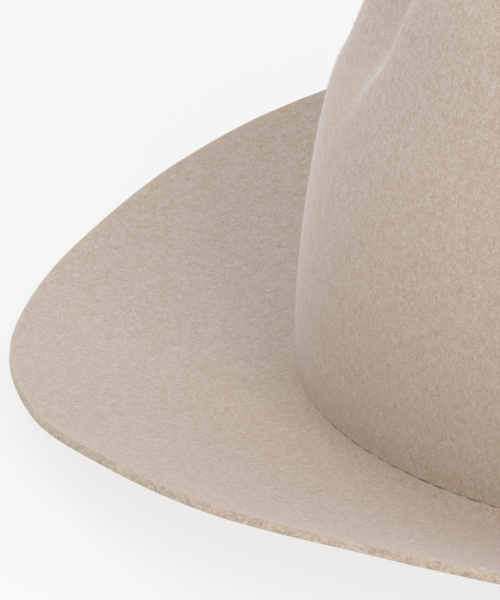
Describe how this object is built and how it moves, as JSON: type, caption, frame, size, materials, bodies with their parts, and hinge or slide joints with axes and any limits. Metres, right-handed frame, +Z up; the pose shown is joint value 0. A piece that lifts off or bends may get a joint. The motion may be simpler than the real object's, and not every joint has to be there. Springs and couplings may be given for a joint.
{
  "type": "crushable fedora",
  "caption": "Soft wool felt fedora with a teardrop crease and front pinches in the crown, a wide raw-cut snap brim rising at the sides, and a sweatband inside the head opening.",
  "frame": {"origin": "under the middle of the hat, on the surface that the brim rests on", "axes": "+Z up, front of the hat towards -Y, the wearer's left towards +X"},
  "size_m": [0.289, 0.3296, 0.1227],
  "materials": {
    "felt": "soft beige wool felt, matte with a fine nap",
    "sweatband": "dark brown ribbed cotton ribbon, matte"
  },
  "bodies": {
    "root": {"felt_body": "felt", "sweatband": "sweatband"}
  },
  "joints": []
}
